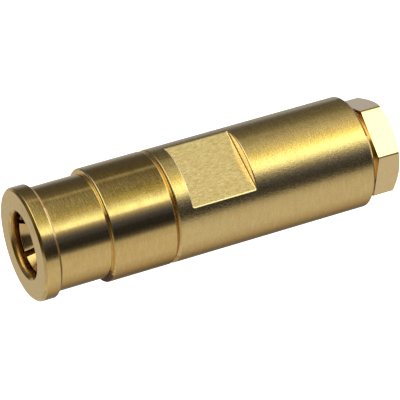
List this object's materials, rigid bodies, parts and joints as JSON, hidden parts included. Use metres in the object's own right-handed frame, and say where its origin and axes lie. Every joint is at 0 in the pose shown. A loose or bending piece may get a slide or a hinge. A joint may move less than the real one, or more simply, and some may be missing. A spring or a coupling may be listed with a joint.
{
  "type": "snap-fit coaxial cable plug",
  "caption": "Straight gold-plated snap-fit coaxial plug: grip flange, sleeve, barrel with wrench flats, slotted spring contact inside and a hexagonal clamp nut for the cable.",
  "frame": {"origin": "centre of the clamp nut's rear face, on the plug's axis", "axes": "+Z along the axis to the mating face; the wrench flats face -Y and +Y"},
  "size_m": [0.009, 0.009, 0.0305],
  "materials": {
    "smooth_gold": "fine-turned, gold plated",
    "satin_gold": "satin, gold plated",
    "bright_gold": "polished, gold plated",
    "spring_gold": "gold-plated spring alloy",
    "ptfe": "turned, white",
    "silicone": "moulded, matte"
  },
  "bodies": {
    "housing": {"front_shell": "smooth_gold", "main_body": "satin_gold", "spring_contact": "spring_gold", "front_insulator": "ptfe", "rear_insulator": "ptfe", "centre_contact": "spring_gold"},
    "clamp_stack": {"braid_clamp": "smooth_gold", "gasket": "silicone", "washer": "smooth_gold"},
    "nut": {"clamp_nut": "bright_gold"}
  },
  "joints": [
    {"name": "clamp_travel", "type": "slide", "parent": "housing", "child": "clamp_stack", "axis": [0, 0, 1], "range_m": [-0.00413, 0.00055]},
    {"name": "nut_turn", "type": "hinge", "parent": "clamp_stack", "child": "nut", "pos_m": [0, 0, 0.001], "axis": [0, 0, 1], "range_deg": [-2970, 396]}
  ],
  "couplings": [
    {"joint": "nut_turn", "follows": "clamp_travel", "rad_per_m": 12566}
  ]
}
